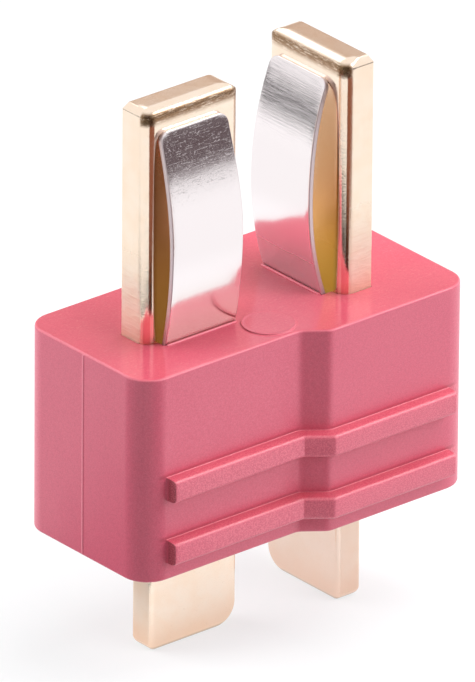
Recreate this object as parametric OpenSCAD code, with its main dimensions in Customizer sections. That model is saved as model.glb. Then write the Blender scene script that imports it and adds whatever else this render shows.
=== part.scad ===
// Two-blade battery lead plug: a moulded nylon housing with grip ribs, holding two gold-plated
// blades set as a T, each with a bowed leaf spring on one face and a solder tail below.
// Millimetres. +X runs from the stem of the T to its crossbar, the sprung face of the stem blade
// looks along -Y, and the plug stands on the ends of its tails at Z = 0.

/* [Housing] */
// Length of the housing, along the stem of the T
housing_l = 16; // [14:0.1:24]
// Height of the housing, from its solder side to its mating face
housing_h = 8.73; // [7:0.01:16]
// Width of the narrow part, round the stem blade
stem_part_w = 7.43; // [6.5:0.01:8]
// Width of the wide part, round the crossbar blade
cross_part_w = 8.91; // [8.8:0.01:12]
// Distance from the stem end to where the side walls begin to widen
step_start = 7.85; // [7.6:0.05:8.8]
// Length over which the side walls widen
step_l = 0.97; // [0.6:0.01:1.6]
// Radius of the four upright corners
corner_r = 1.15; // [0.6:0.05:1.8]
// Radius of the upright edges of the step
step_r = 0.3; // [0.2:0.05:0.5]
// Bevel round the mating face and the solder side
rim_bevel = 0.1; // [0.04:0.01:0.15]

/* [Grip ribs] */
// How far the ribs stand out from the side walls
rib_out = 0.55; // [0.2:0.05:0.9]
// Height of each rib
rib_h = 0.95; // [0.5:0.05:1.2]
// Radius of a rib's long edges
rib_r = 0.16; // [0.05:0.01:0.2]
// Height of the lower rib's underside above the solder side
rib_low = 0.79; // [0.3:0.01:1.5]
// Distance between the undersides of the two ribs
rib_pitch = 2.69; // [1.6:0.01:3.2]

/* [Moulding marks] */
// Diameter of the raised mark on the mating face
mark_d = 2.15; // [1:0.05:2.4]
// Height of the raised mark
mark_h = 0.06; // [0.02:0.01:0.15]
// Distance of the raised mark's centre from the stem end
mark_from_end = 7.31; // [6.5:0.01:8.5]
// Width of the flat between the raised mark and the edge of the mating face
mark_margin = 0.2; // [0.15:0.01:0.3]
// Width of the parting line up the two ends
parting_w = 0.14; // [0.05:0.01:0.3]
// How far the parting line stands out
parting_out = 0.04; // [0.02:0.01:0.1]
// Width of the moulded lip in front of each spring
lip_w = 0.14; // [0.05:0.01:0.25]
// Height of the moulded lip
lip_h = 0.05; // [0.02:0.01:0.12]

/* [Blades] */
// Width of a blade
blade_w = 4.77; // [4.2:0.01:5]
// Thickness of a blade
blade_t = 1.45; // [1.2:0.05:1.7]
// How far a blade stands above the mating face
blade_reach = 9.95; // [9.6:0.05:14]
// Radius of the rolled edge round a blade's sprung face
roll_r = 0.48; // [0.2:0.01:0.55]
// Run of the bevel along the back and the outer side of a blade's tip
tip_bevel_w = 0.18; // [0.05:0.01:0.3]
// Height of that bevel
tip_bevel_h = 0.3; // [0.1:0.01:0.5]
// Run and height of the bevel on the side of the T's centre
tip_inner_bevel = 0.4; // [0.1:0.01:0.6]
// Distance from the stem end to the near edge of the stem blade
stem_blade_from_end = 2.25; // [1.8:0.01:2.4]
// How far the stem blade's sprung face lies in front of the housing's middle
stem_face_out = 1.02; // [0.6:0.01:1.3]
// Distance from the crossbar end to the crossbar blade's sprung face
cross_face_from_end = 4.85; // [4.4:0.01:5]

/* [Solder tails] */
// Width of a tail
tail_w = 4.38; // [3.6:0.01:4.4]
// Thickness of a tail
tail_t = 1.15; // [0.9:0.05:1.2]
// How far a tail stands below the solder side
tail_reach = 4.65; // [3:0.05:8]
// How far the stem tail lies off the middle of its blade, towards the T's centre
stem_tail_shift = 0.17; // [-0.2:0.01:0.2]
// How far the crossbar tail lies off the middle of its blade, towards the T's centre
cross_tail_shift = -0.04; // [-0.2:0.01:0.2]
// Radius of a tail's upright front edges
tail_roll_r = 0.17; // [0.05:0.01:0.3]
// Radius of the long edges at a tail's end
tail_end_r = 0.28; // [0.05:0.01:0.4]
// Radius of the tail corner on the side of the T's centre
tail_inner_r = 0.95; // [0.3:0.05:1.2]
// Radius of the other tail corner
tail_outer_r = 0.35; // [0.2:0.05:1.2]
// Depth below the mating face at which the blade narrows to its tail
shoulder_depth = 3; // [2.5:0.1:5]

/* [Leaf springs] */
// Width of a spring
spring_w = 3.55; // [2.8:0.05:3.8]
// Thickness of a spring
spring_t = 0.22; // [0.1:0.01:0.25]
// How far the stem spring's crown stands out from its blade's face
stem_crown_out = 0.88; // [0.8:0.01:1.4]
// How far the crossbar spring's crown stands out from its blade's face
cross_crown_out = 1.22; // [0.8:0.01:1.4]
// Height of the crown above the mating face
crown_z = 4; // [3.6:0.1:4.2]
// Height above the mating face at which a spring ends
spring_reach = 9; // [8.6:0.1:9.2]
// Length of a spring's free end that lies flat on its blade
spring_land = 0.2; // [0.1:0.05:0.5]
// Radius of the corners of a spring's free end
spring_corner_r = 0.45; // [0.2:0.05:0.8]
// How far a spring's foot goes down into the housing
foot_depth = 0.6; // [0.3:0.1:0.7]
// How far a spring lies off the middle of its blade, towards the T's centre
spring_shift = 0.06; // [0:0.01:0.2]

/* [Fits] */
// Gap between a contact and its slot
slot_gap = 0.02; // [0.01:0.01:0.08]

/* [Hidden] */
$fn = 64;
ring_fn = 360;
past = 0.05;
mating_z = tail_reach + housing_h;
shoulder_z = mating_z - shoulder_depth;
tip_z = mating_z + blade_reach;
bevel_low_z = tip_z - tip_bevel_h * (1 + past / tip_bevel_w);
stem_end_x = -housing_l / 2;
cross_end_x = housing_l / 2;
step_x0 = stem_end_x + step_start;
step_x1 = step_x0 + step_l;
stem_face_y = -stem_face_out;
stem_blade_x = stem_end_x + stem_blade_from_end + blade_w / 2;
cross_face_x = cross_end_x - cross_face_from_end;
mark_x = stem_end_x + mark_from_end;
mark_y = -stem_part_w / 2 + mark_margin + mark_d / 2;

// A spring is a strip of a ring whose centre lies behind the blade's face. Its inner side stands
// off by the bow at the crown and meets the face where the land starts.
land_z = spring_reach - spring_land;
function bow(crown_out) = crown_out - spring_t;
function ring_r(crown_out) =
    (pow(land_z - crown_z, 2) + pow(bow(crown_out), 2)) / (2 * bow(crown_out));
function ring_y(crown_out) = ring_r(crown_out) - bow(crown_out);
// How far a spring's outer side stands off the blade's face where it leaves the housing
function foot_out(crown_out) =
    sqrt(pow(ring_r(crown_out) + spring_t, 2) - pow(crown_z, 2)) - ring_y(crown_out);

// Upright corners of the housing as [x, y, radius], going round it with the outside on the right.
front_wall = [
    [stem_end_x, -stem_part_w / 2, corner_r],
    [step_x0, -stem_part_w / 2, step_r],
    [step_x1, -cross_part_w / 2, step_r],
    [cross_end_x, -cross_part_w / 2, corner_r],
];
back_wall = [for (i = [len(front_wall) - 1 : -1 : 0])
    [front_wall[i].x, -front_wall[i].y, front_wall[i].z]];
outline = concat(front_wall, back_wall);

// The front wall's step, and how far a rib's slanted run starts before it to be inside the housing
step_foot = [step_x0, -stem_part_w / 2];
step_head = [step_x1, -cross_part_w / 2];
run_in = 2 * rib_out * step_l / (step_foot.y - step_head.y);

function flat(p) = [p.x, p.y];
function heading(a, b) = atan2(b.y - a.y, b.x - a.x);
function wrapped(angle) = angle > 180 ? angle - 360 : angle < -180 ? angle + 360 : angle;
function before(path, i) = path[(i + len(path) - 1) % len(path)];
function after(path, i) = path[(i + 1) % len(path)];
// Angle turned at a corner, positive to the left
function turn(path, i) =
    wrapped(heading(path[i], after(path, i)) - heading(before(path, i), path[i]));
// Distance from a corner to the point where its rounding starts
function setback(path, i) = path[i].z * tan(abs(turn(path, i)) / 2);
function along(a, b, distance) =
    let (angle = heading(a, b)) [a.x + distance * cos(angle), a.y + distance * sin(angle)];
function arc_start(path, i) = along(path[i], before(path, i), setback(path, i));
function arc_end(path, i) = along(path[i], after(path, i), setback(path, i));
function arc_centre(path, i) =
    let (
        start = arc_start(path, i),
        side = heading(before(path, i), path[i]) + (turn(path, i) > 0 ? 90 : -90)
    )
    [start.x + path[i].z * cos(side), start.y + path[i].z * sin(side)];

// A closed outline with its corners rounded to true arcs
module rounded(path) {
    corners = [for (i = [0 : len(path) - 1]) i];
    difference() {
        union() {
            polygon([for (i = corners) each [arc_start(path, i), arc_end(path, i)]]);
            for (i = corners)
                if (turn(path, i) > 0)
                    translate(arc_centre(path, i))
                        circle(path[i].z);
                else
                    polygon([arc_start(path, i), flat(path[i]), arc_end(path, i)]);
        }
        for (i = corners)
            if (turn(path, i) < 0)
                translate(arc_centre(path, i))
                    circle(path[i].z);
    }
}

// Extrudes a profile from one point to another. Its x runs out to the right, and its y runs up.
module run(a, b) {
    translate(a)
        rotate([90, 0, 90 + heading(a, b)])
            linear_extrude(norm(b - a))
                mirror([1, 0])
                    children();
}

// Carries a profile round a closed path
module follow(path) {
    for (i = [0 : len(path) - 1]) {
        run(arc_end(path, i), arc_start(path, (i + 1) % len(path)))
            children();
        let (angle = turn(path, i), left = angle > 0)
            translate(arc_centre(path, i))
                rotate(heading(before(path, i), path[i]) + (left ? -90 : 90 + angle))
                    rotate_extrude(angle = abs(angle))
                        translate([path[i].z, 0])
                            mirror([left ? 0 : 1, 0])
                                children();
    }
}

// A rib's section: its root is so far behind the wall, and its outer edges are rounded
module rib_profile(root) {
    rounded([
        [-root, 0, 0],
        [rib_out, 0, rib_r],
        [rib_out, rib_h, rib_r],
        [-root, rib_h, 0],
    ]);
}

// A rib on the front wall. It has a straight run on the narrow part, and where the wall widens, it
// is what a slanted run and the wide part's run have in common.
module rib() {
    run([stem_end_x + corner_r, step_foot.y], [step_x1, step_foot.y])
        rib_profile(stem_part_w / 2);
    intersection() {
        run(along(step_foot, step_head, -run_in), along(step_foot, step_head, housing_l))
            rib_profile(housing_l);
        run([step_x0 - run_in, step_head.y], [cross_end_x - corner_r, step_head.y])
            rib_profile(cross_part_w / 2);
    }
}

module ribs() {
    for (z = [rib_low, rib_low + rib_pitch])
        translate([0, 0, tail_reach + z])
            for (side = [0, 1])
                mirror([0, side, 0])
                    rib();
}

// What the bevel round the mating face takes away, with its corner at the edge
module rim_profile() {
    polygon([[-rim_bevel - past, past], [past, past], [past, -rim_bevel - past]]);
}

module rims() {
    translate([0, 0, mating_z])
        follow(outline)
            rim_profile();
    translate([0, 0, tail_reach])
        follow(outline)
            mirror([0, 1])
                rim_profile();
}

module moulding_marks() {
    translate([mark_x, mark_y, mating_z - past])
        cylinder(d = mark_d, h = mark_h + past);
    translate([stem_end_x - parting_out, -parting_w / 2, tail_reach + rim_bevel])
        cube([housing_l + 2 * parting_out, parting_w, housing_h - 2 * rim_bevel]);
}

// Places a contact's own frame on the stem: its sprung face looks along -Y, its tails' inner
// corner is on the +X side, and its origin is on the middle of that face at Z = 0.
module on_stem() {
    translate([stem_blade_x, stem_face_y, 0])
        children();
}

// The crossbar holds the same contact the other way round, facing the stem.
module on_crossbar() {
    translate([cross_face_x, 0, 0])
        rotate(-90)
            mirror([1, 0, 0])
                children();
}

// A bar's section: the sprung face lies on y = 0 with rolled edges, and the bar is behind it
module bar_section(w, t, r, gap = 0) {
    rounded([
        [-w / 2 - gap, -gap, r + gap],
        [w / 2 + gap, -gap, r + gap],
        [w / 2 + gap, t + gap, 0],
        [-w / 2 - gap, t + gap, 0],
    ]);
}

// A bar that stands from one height to another, kept within two outlines: one seen from the
// front, and one from the side
module bar(w, t, r, low, high) {
    intersection() {
        translate([0, 0, low - past])
            linear_extrude(high - low + 2 * past)
                bar_section(w, t, r);
        translate([0, t + past, 0])
            rotate([90, 0, 0])
                linear_extrude(t + 2 * past)
                    children(0);
        translate([-w / 2 - past, 0, 0])
            rotate([90, 0, 90])
                linear_extrude(w + 2 * past)
                    children(1);
    }
}

// The wide part of the contact, from its shoulder inside the housing to its bevelled tip
module blade() {
    bar(blade_w, blade_t, roll_r, shoulder_z, tip_z) {
        polygon([
            [-blade_w / 2 - past, shoulder_z],
            [blade_w / 2 + past, shoulder_z],
            [blade_w / 2 + past, tip_z - tip_inner_bevel - past],
            [blade_w / 2 - tip_inner_bevel, tip_z],
            [tip_bevel_w - blade_w / 2, tip_z],
            [-blade_w / 2 - past, bevel_low_z],
        ]);
        rounded([
            [0, shoulder_z - past, 0],
            [blade_t + past, shoulder_z - past, 0],
            [blade_t + past, bevel_low_z, 0],
            [blade_t - tip_bevel_w, tip_z, 0],
            [0, tip_z, roll_r],
        ]);
    }
}

module tail() {
    bar(tail_w, tail_t, tail_roll_r, 0, shoulder_z) {
        rounded([
            [-tail_w / 2, 0, tail_outer_r],
            [tail_w / 2, 0, tail_inner_r],
            [tail_w / 2, shoulder_z, 0],
            [-tail_w / 2, shoulder_z, 0],
        ]);
        rounded([
            [0, 0, tail_end_r],
            [tail_t, 0, tail_end_r],
            [tail_t, shoulder_z + past, 0],
            [0, shoulder_z + past, 0],
        ]);
    }
}

// One contact: the blade, and the tail that meets it at the shoulder
module contact(tail_shift) {
    blade();
    translate([tail_shift, 0, 0])
        tail();
}

// The room that a contact and its spring take in the housing
module contact_slot(tail_shift, crown_out) {
    translate([0, 0, shoulder_z - slot_gap])
        linear_extrude(shoulder_depth + slot_gap + lip_h + past)
            bar_section(blade_w, blade_t, roll_r, slot_gap);
    translate([tail_shift, 0, 0])
        linear_extrude(shoulder_z + slot_gap)
            bar_section(tail_w, tail_t, tail_roll_r, slot_gap);
    translate([
        spring_shift - spring_w / 2 - slot_gap,
        -foot_out(crown_out) - slot_gap,
        mating_z - foot_depth - slot_gap,
    ])
        cube([
            spring_w + 2 * slot_gap,
            foot_out(crown_out) + slot_gap,
            foot_depth + slot_gap + lip_h + past,
        ]);
}

// The lip that the mould leaves in front of a spring
module spring_lip(crown_out) {
    translate([
        spring_shift - spring_w / 2,
        -foot_out(crown_out) - slot_gap - lip_w,
        mating_z - past,
    ])
        cube([spring_w, lip_w, lip_h + past]);
}

// A spring's bow, seen from the side: the blade's face is at x = 0, and the bow in front of it
module spring_bow(crown_out) {
    intersection() {
        translate([ring_y(crown_out), mating_z + crown_z])
            difference() {
                circle(ring_r(crown_out) + spring_t, $fn = ring_fn);
                circle(ring_r(crown_out), $fn = ring_fn);
            }
        translate([-crown_out - past, mating_z - foot_depth])
            square([crown_out + past, foot_depth + spring_reach]);
    }
}

// A spring's outline from the front, with the corners of its free end rounded
module spring_front() {
    rounded([
        [-spring_w / 2, mating_z - foot_depth, 0],
        [spring_w / 2, mating_z - foot_depth, 0],
        [spring_w / 2, mating_z + spring_reach, spring_corner_r],
        [-spring_w / 2, mating_z + spring_reach, spring_corner_r],
    ]);
}

module spring(crown_out) {
    translate([spring_shift, 0, 0])
        intersection() {
            translate([-spring_w / 2 - past, 0, 0])
                rotate([90, 0, 90])
                    linear_extrude(spring_w + 2 * past)
                        spring_bow(crown_out);
            translate([0, past, 0])
                rotate([90, 0, 0])
                    linear_extrude(crown_out + 2 * past)
                        spring_front();
        }
}

module housing() {
    color("IndianRed")
        difference() {
            union() {
                difference() {
                    translate([0, 0, tail_reach])
                        linear_extrude(housing_h)
                            rounded(outline);
                    rims();
                }
                ribs();
                moulding_marks();
                on_stem() spring_lip(stem_crown_out);
                on_crossbar() spring_lip(cross_crown_out);
            }
            on_stem() contact_slot(stem_tail_shift, stem_crown_out);
            on_crossbar() contact_slot(cross_tail_shift, cross_crown_out);
        }
}

module stem_blade() {
    color("BurlyWood") on_stem() contact(stem_tail_shift);
}

module crossbar_blade() {
    color("BurlyWood") on_crossbar() contact(cross_tail_shift);
}

module stem_spring() {
    color("Silver") on_stem() spring(stem_crown_out);
}

module crossbar_spring() {
    color("Silver") on_crossbar() spring(cross_crown_out);
}

housing();
stem_blade();
crossbar_blade();
stem_spring();
crossbar_spring();
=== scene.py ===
"""A battery lead plug: a moulded nylon housing, two gold-plated blades and two nickel leaf
springs, on a pale floor between soft studio lights."""

import math
from functools import partial

import bmesh
import bpy
import numpy as np
from mathutils import Matrix, Vector
from mathutils.geometry import delaunay_2d_cdt


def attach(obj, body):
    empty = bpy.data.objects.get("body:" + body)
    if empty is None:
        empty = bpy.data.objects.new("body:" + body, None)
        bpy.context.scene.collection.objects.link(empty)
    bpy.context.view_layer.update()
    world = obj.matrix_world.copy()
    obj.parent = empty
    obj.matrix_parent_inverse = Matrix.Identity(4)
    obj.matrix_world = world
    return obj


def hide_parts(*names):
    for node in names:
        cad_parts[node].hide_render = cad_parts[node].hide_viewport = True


bl_info = {
    "name": "Battery Lead Plug",
    "version": (1, 0, 0),
    "blender": (4, 5, 0),
    "location": "3D View > Sidebar > Plug",
    "description": "Builds the housing, blades, leaf springs and studio of a battery lead plug",
    "category": "Object",
}

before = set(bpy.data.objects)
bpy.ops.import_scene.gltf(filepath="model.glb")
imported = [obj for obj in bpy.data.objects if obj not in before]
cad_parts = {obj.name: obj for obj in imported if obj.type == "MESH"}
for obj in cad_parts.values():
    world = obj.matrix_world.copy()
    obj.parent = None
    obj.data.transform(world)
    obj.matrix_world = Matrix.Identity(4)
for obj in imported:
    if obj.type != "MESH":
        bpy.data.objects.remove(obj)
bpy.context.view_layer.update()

MM = 0.001
HALF_TURN = math.pi
QUARTER = math.pi / 2
WELD = 0.1e-6  # points closer than this are one point, in metres


# Sizes and colours


def length(name, description, mm, **limits):
    """A size property, given in millimetres and kept in metres."""
    return bpy.props.FloatProperty(
        name=name,
        description=description,
        default=mm * MM,
        unit="LENGTH",
        subtype="DISTANCE",
        precision=5,
        **limits,
    )


def colour(name, description, value):
    """A colour property, its three parts linear light from 0 to 1."""
    return bpy.props.FloatVectorProperty(
        name=name,
        description=description,
        default=value,
        size=3,
        min=0,
        max=1,
        subtype="COLOR",
    )


def share(name, description, value):
    """A property between 0 and 1."""
    return bpy.props.FloatProperty(
        name=name, description=description, default=value, min=0, max=1, subtype="FACTOR"
    )


class PlugHousingSettings(bpy.types.PropertyGroup):
    """The moulded housing: its outline from above, its ribs and its nylon."""

    solder_z: length("Solder side", "Height of the solder side above the floor", 4.65)
    mating_z: length("Mating face", "Height of the mating face above the floor", 13.38)
    long: length("Length", "Length along the stem of the T", 16)
    stem_width: length("Stem width", "Width of the narrow part", 7.43)
    crossbar_width: length("Crossbar width", "Width of the wide part", 8.91)
    step_start: length("Step start", "Distance from the stem end to the step", 7.85)
    step_long: length("Step length", "Length over which the walls widen", 0.97)
    corner: length("Corner radius", "Radius of the four upright corners", 1.15)
    step_corner: length("Step radius", "Radius of the step's upright edges", 0.6)
    rim: length("Rim radius", "Radius of the edges round both faces", 0.1)
    rib_out: length("Rib stand", "How far a rib stands out from the wall", 0.55)
    rib_tall: length("Rib height", "Height of a rib", 0.95)
    rib_edge: length("Rib edge radius", "Radius of a rib's long edges", 0.16)
    rib_low: length("Lower rib", "Height of the lower rib above the solder side", 0.79)
    rib_pitch: length("Rib spacing", "Distance between the two ribs", 2.69)
    mark_across: length("Mark diameter", "Diameter of the round mark", 2.15)
    mark_up: length("Mark height", "Height of the round mark", 0.06)
    nylon: colour("Nylon", "Colour of the nylon", (0.68, 0.093, 0.15))
    nylon_pale: colour("Pale nylon", "Colour of its paler clouds", (0.76, 0.15, 0.19))
    gloss: share("Roughness", "Roughness of the nylon", 0.22)


class PlugBladeSettings(bpy.types.PropertyGroup):
    """The two gold-plated contacts, each a blade and a solder tail."""

    wide: length("Blade width", "Width of a blade", 4.77)
    thick: length("Blade thickness", "Thickness of a blade", 1.45)
    reach: length("Blade reach", "How far a blade stands above the mating face", 9.95)
    roll: length("Roll radius", "Radius of the rolled edge of the sprung face", 0.48)
    tail_wide: length("Tail width", "Width of a solder tail", 4.38)
    tail_thick: length("Tail thickness", "Thickness of a solder tail", 1.15)
    gold: colour("Gold", "Colour of the gold plating", (0.99, 0.83, 0.69))
    gold_deep: colour("Deep gold", "Colour of the plating in its hollows", (0.97, 0.71, 0.50))
    gloss: share("Roughness", "Roughness of the plating", 0.13)


class PlugSpringSettings(bpy.types.PropertyGroup):
    """The two bowed leaf springs."""

    wide: length("Spring width", "Width of a spring", 3.55)
    thick: length("Spring thickness", "Thickness of a spring", 0.22)
    stem_crown: length("Stem crown", "How far the stem spring stands out", 0.88)
    cross_crown: length("Crossbar crown", "How far the crossbar spring stands out", 1.22)
    crown_z: length("Crown height", "Height of the crown above the mating face", 4)
    reach: length("Spring reach", "Height of the free end above the mating face", 9)
    nickel: colour("Nickel", "Colour of the nickel", (0.905, 0.84, 0.85))
    gloss: share("Roughness", "Roughness of the nickel", 0.15)


class PlugStageSettings(bpy.types.PropertyGroup):
    """The floor, the lamps and the camera."""

    floor: colour("Floor", "Colour of the floor", (0.57, 0.59, 0.59))
    lamps: bpy.props.FloatProperty(
        name="Lamp strength", description="Strength of all the lamps", default=1.0, min=0
    )
    sky: share("Sky strength", "How strongly the surroundings light the plug", 0.2)


# Shader building


class Wire:
    """One output of a node, or a number. Arithmetic on it adds Math nodes."""

    def __init__(self, tree, socket):
        self.tree, self.socket = tree, socket

    def math(self, operation, *others):
        """The result of a Math node with this wire as its first value."""
        return add_node(self.tree, "Math", dict(enumerate([self, *others])), operation=operation)

    def __add__(self, other):
        return self.math("ADD", other)

    def __sub__(self, other):
        return self.math("SUBTRACT", other)

    def __rsub__(self, other):
        return Wire(self.tree, other).math("SUBTRACT", self)

    def __mul__(self, other):
        return self.math("MULTIPLY", other)

    def __abs__(self):
        return self.math("ABSOLUTE")

    __radd__ = __add__
    __rmul__ = __mul__

    def low(self, other):
        """The lesser of the two."""
        return self.math("MINIMUM", other)

    def high(self, other):
        """The greater of the two."""
        return self.math("MAXIMUM", other)

    def ramp(self, start, end):
        """Rises smoothly from 0 to 1 as this goes from start to end."""
        sockets = dict(enumerate([self, start, end]))
        return add_node(self.tree, "MapRange", sockets, interpolation_type="SMOOTHSTEP")


def plug(tree, socket, item):
    """Links a wire to a socket, or sets the socket to a number, colour or vector."""
    if isinstance(item, Wire):
        if isinstance(item.socket, (int, float)):
            socket.default_value = item.socket
        else:
            tree.links.new(item.socket, socket)
    elif isinstance(item, (tuple, list)) and len(item) == 3 and socket.type == "RGBA":
        socket.default_value = (*item, 1)
    else:
        socket.default_value = item


def add_node(tree, kind, sockets, output=0, **settings):
    """Adds a shader node of this kind. Its settings come first, then its sockets, by name or
    number. Returns one of its outputs."""
    node = tree.nodes.new("ShaderNode" + kind)
    for key, value in settings.items():
        setattr(node, key, value)
    for key, item in sockets.items():
        plug(tree, node.inputs[key], item)
    return Wire(tree, node.outputs[output])


def seen_rays(tree):
    """1 for what is seen, straight, mirrored or through glass, and 0 for light on a surface."""
    sockets = add_node(tree, "LightPath", {}).socket.node.outputs
    names = ("Is Camera Ray", "Is Glossy Ray", "Is Transmission Ray")
    camera, glossy, glass = (Wire(tree, sockets[name]) for name in names)
    return camera.high(glossy).high(glass)


class Finish:
    """A material: its node tree and the patterns that its shader is fed."""

    def __init__(self, name):
        self.material = bpy.data.materials.new(name)
        self.material.use_nodes = True
        self.tree = self.material.node_tree
        self.shader = self.tree.nodes["Principled BSDF"]
        self.end = self.tree.nodes["Material Output"].inputs["Surface"]
        self.place = self.node("TexCoord", output="Object")

    def node(self, kind, output=0, **sockets):
        """Adds a node that needs no settings, its sockets given by name."""
        return add_node(self.tree, kind, sockets, output)

    def noise(self, size, detail=2.0, stretch=None, roughness=0.5, distortion=0.0):
        """Soft noise with features of about this size in millimetres, or of the three lengths of
        a stretch."""
        scale = tuple(1 / (side * MM) for side in stretch or (size, size, size))
        where = self.node("Mapping", Vector=self.place, Scale=scale)
        look = {"Detail": detail, "Roughness": roughness, "Distortion": distortion}
        return self.node("TexNoise", Vector=where, Scale=1.0, **look)

    def axis(self, letter):
        """One of the object coordinates, in millimetres."""
        return self.node("SeparateXYZ", output=letter, Vector=self.place) * (1 / MM)

    def facing(self, letter):
        """One part of the surface's normal."""
        return self.node("SeparateXYZ", output=letter, Vector=self.node("NewGeometry", output="Normal"))

    def mix(self, amount, first, second):
        """Mixes two colours, whose sockets are the seventh and eighth."""
        return add_node(self.tree, "Mix", {0: amount, 6: first, 7: second}, 2, data_type="RGBA")

    def bump(self, height, depth, normal=None):
        """A normal raised by a height of 0 to 1 times a depth in millimetres."""
        below = {"Normal": normal} if normal else {}
        return self.node("Bump", Height=height, Distance=depth * MM, Strength=1.0, **below)

    def set(self, **sockets):
        """Feeds the shader's sockets, whose names are written with _ for a space."""
        for key, value in sockets.items():
            plug(self.tree, self.shader.inputs[key.replace("_", " ")], value)
        return self.material


# Meshes


def filleted(corners, radii, steps=8):
    """A closed outline of straight sides with rounded corners: round a corner, the centre lies
    where the sides, each moved in by the radius, meet, and the arc runs between the two points
    where it touches them. Returns an (n, 2) array."""
    corners = np.asarray(corners, float)
    out = []
    for i, radius in enumerate(radii):
        point, back, on = corners[i], corners[i - 1], corners[(i + 1) % len(corners)]
        a = (back - point) / np.linalg.norm(back - point)
        b = (on - point) / np.linalg.norm(on - point)
        if radius <= 0:
            out.append(point[None])
            continue
        half = math.acos(np.clip(a @ b, -1, 1)) / 2
        middle = (a + b) / np.linalg.norm(a + b)
        centre = point + middle * radius / math.sin(half)
        start, end = point + a * radius / math.tan(half), point + b * radius / math.tan(half)
        t = np.linspace(0, 1, steps + 1)[:, None]
        swing = HALF_TURN - 2 * half
        first, last = start - centre, end - centre
        arc = (np.sin((1 - t) * swing) * first + np.sin(t * swing) * last) / math.sin(swing)
        out.append(centre + arc)
    return np.concatenate(out)


def strip_faces(rows, columns, closed=True):
    """Quads between rows of points numbered along each row, as an (n, 4) array."""
    r, c = np.meshgrid(np.arange(rows - 1), np.arange(columns if closed else columns - 1), indexing="ij")
    right = (c + 1) % columns
    quads = [r * columns + c, r * columns + right, (r + 1) * columns + right, (r + 1) * columns + c]
    return np.stack(quads, -1).reshape(-1, 4)


class Shell:
    """Collects patches of points and faces, in millimetres, into one closed mesh."""

    def __init__(self):
        self.points, self.faces, self.count = [], [], 0

    def add(self, points, faces):
        """Adds a patch, whose faces number its own points from 0."""
        points = np.asarray(points, float).reshape(-1, 3)
        self.points.append(points)
        self.faces.extend((np.asarray(face) + self.count).tolist() for face in faces)
        self.count += len(points)

    def rows(self, grid, closed=True):
        """A grid of rows of points, each row closed on itself unless told otherwise."""
        rows, columns = grid.shape[:2]
        self.add(grid, strip_faces(rows, columns, closed))

    def cap(self, ring):
        """One flat face over a closed ring of points."""
        self.add(ring, [np.arange(len(ring))])

    def sheet(self, outer, holes, z):
        """A flat sheet at one height between an outline and the outlines of its holes, cut into
        triangles whose corners are the outlines' own points."""
        loops = [outer, *holes]
        flat = np.concatenate(loops)
        edges, start = [], 0
        for loop in loops:
            n = np.arange(len(loop))
            edges.append(np.stack([start + n, start + (n + 1) % len(loop)], -1))
            start += len(loop)
        corners, sides = [Vector(point) for point in flat.tolist()], np.concatenate(edges).tolist()
        found, _, cuts, *_ = delaunay_2d_cdt(corners, sides, [], 1, 1e-7)
        points = np.array([tuple(point) for point in found])
        triangles = np.array([cut for cut in cuts if len(cut) == 3])
        middle = points[triangles].mean(1)
        kept = inside(middle, outer)
        for hole in holes:
            kept &= ~inside(middle, hole)
        self.add(np.column_stack([points, np.full(len(points), z)]), triangles[kept])

    def mesh(self, name, material, place=None):
        """Welds the patches, turns every face outward and makes the object. place moves the
        points, as an (n, 3) array in millimetres, to where they belong."""
        points = np.concatenate(self.points)
        if place is not None:
            points = place(points)
        mesh = bpy.data.meshes.new(name)
        mesh.from_pydata((points * MM).tolist(), [], self.faces)
        work = bmesh.new()
        work.from_mesh(mesh)
        bmesh.ops.remove_doubles(work, verts=work.verts, dist=WELD)
        bmesh.ops.dissolve_degenerate(work, edges=work.edges, dist=WELD / 10)
        bmesh.ops.recalc_face_normals(work, faces=work.faces)
        work.to_mesh(mesh)
        work.free()
        mesh.shade_smooth()
        mesh.set_sharp_from_angle(angle=math.radians(32))
        mesh.materials.append(material)
        piece = put_in_scene(name, mesh)
        even = piece.modifiers.new("Even normals", "WEIGHTED_NORMAL")
        even.weight = 50
        even.keep_sharp = True
        return piece


def put_in_scene(name, data):
    """A new object of this mesh, light or camera."""
    thing = bpy.data.objects.new(name, data)
    bpy.context.scene.collection.objects.link(thing)
    return thing


def inside(points, loop):
    """Which points lie within a closed loop: those with an odd number of its sides to their
    right, worked out for all points and sides at once."""
    x, y = points[:, 0, None], points[:, 1, None]
    x0, y0 = loop[:, 0], loop[:, 1]
    x1, y1 = np.roll(x0, -1), np.roll(y0, -1)
    spans = (y0 > y) != (y1 > y)
    rise = np.where(y1 == y0, 1, y1 - y0)
    crossing = x0 + (y - y0) * (x1 - x0) / rise
    return (spans & (x < crossing)).sum(1) % 2 == 1


def quarter(steps):
    """Angles of a quarter turn."""
    return np.linspace(0, QUARTER, steps + 1)


def full_turn(steps):
    """Angles of a full turn, the last one short of the first."""
    return np.linspace(0, 2 * HALF_TURN, steps, endpoint=False)


def ways(turn):
    """Unit vectors at these angles, as an (n, 2) array."""
    return np.column_stack([np.cos(turn), np.sin(turn)])


def smooth_step(t):
    """Three times t squared less twice t cubed, with t held between 0 and 1."""
    t = np.clip(t, 0, 1)
    return t * t * (3 - 2 * t)


# Where the contacts stand


def on_stem(points):
    """The stem contact's own frame, in the row frame: its sprung face looks along -Y."""
    return points + np.array([STEM_X, STEM_Y, 0])


def on_crossbar(points):
    """The crossbar contact's own frame, in the row frame: its sprung face looks along -X."""
    return np.column_stack([points[:, 1] + CROSS_X, points[:, 0], points[:, 2]])


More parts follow.
